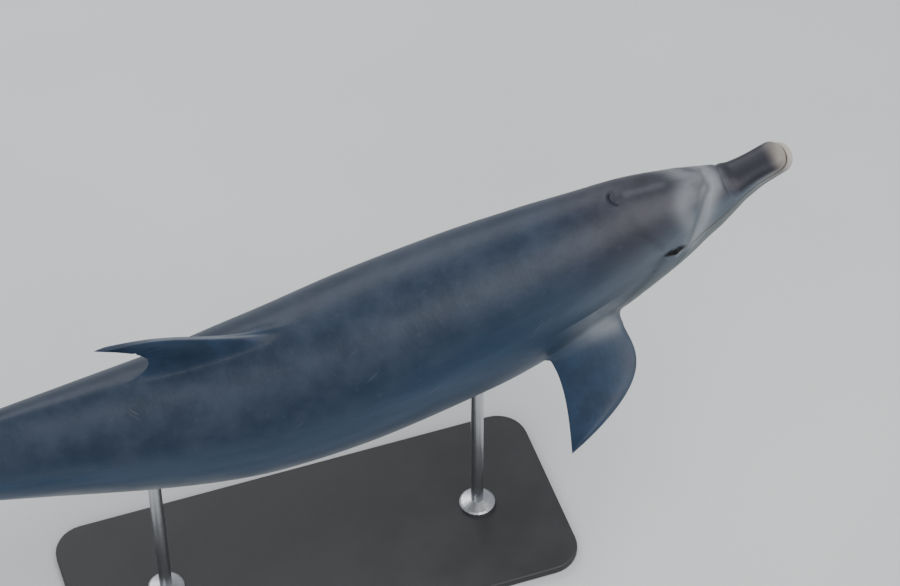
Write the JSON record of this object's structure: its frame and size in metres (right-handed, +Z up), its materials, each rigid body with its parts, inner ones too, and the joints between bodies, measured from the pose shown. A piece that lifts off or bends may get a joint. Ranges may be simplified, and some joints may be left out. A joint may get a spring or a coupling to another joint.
{
  "type": "bottlenose dolphin museum model",
  "caption": "Life-size bottlenose dolphin rising to breathe, head lifted and flippers spread, held on a flat base by two rods.",
  "frame": {"origin": "on the floor under the middle of the overall length, in the plane of symmetry", "axes": "+X towards the snout, +Y towards the animal's left, +Z up"},
  "size_m": [2.3819, 0.6796, 0.9255],
  "materials": {
    "skin_back": "smooth wet skin, dark slate grey",
    "skin_flank": "smooth wet skin, slate grey",
    "skin_jaw": "smooth wet skin, pale grey",
    "eye": "glossy dark brown",
    "stand_black": "satin black paint",
    "stand_steel": "brushed"
  },
  "bodies": {
    "root": {"beak_upper": "skin_back", "lower_jaw": "skin_jaw", "head": "skin_flank", "eye_left": "eye", "eye_right": "eye", "chest": "skin_flank", "trunk": "skin_flank", "loin": "skin_flank", "tail_stock": "skin_flank", "dorsal_fin": "skin_back", "flipper_left": "skin_back", "flipper_right": "skin_back", "fluke_left": "skin_back", "fluke_right": "skin_back", "stand_base": "stand_black", "stand_rod_front": "stand_steel", "stand_rod_rear": "stand_steel"}
  },
  "joints": []
}
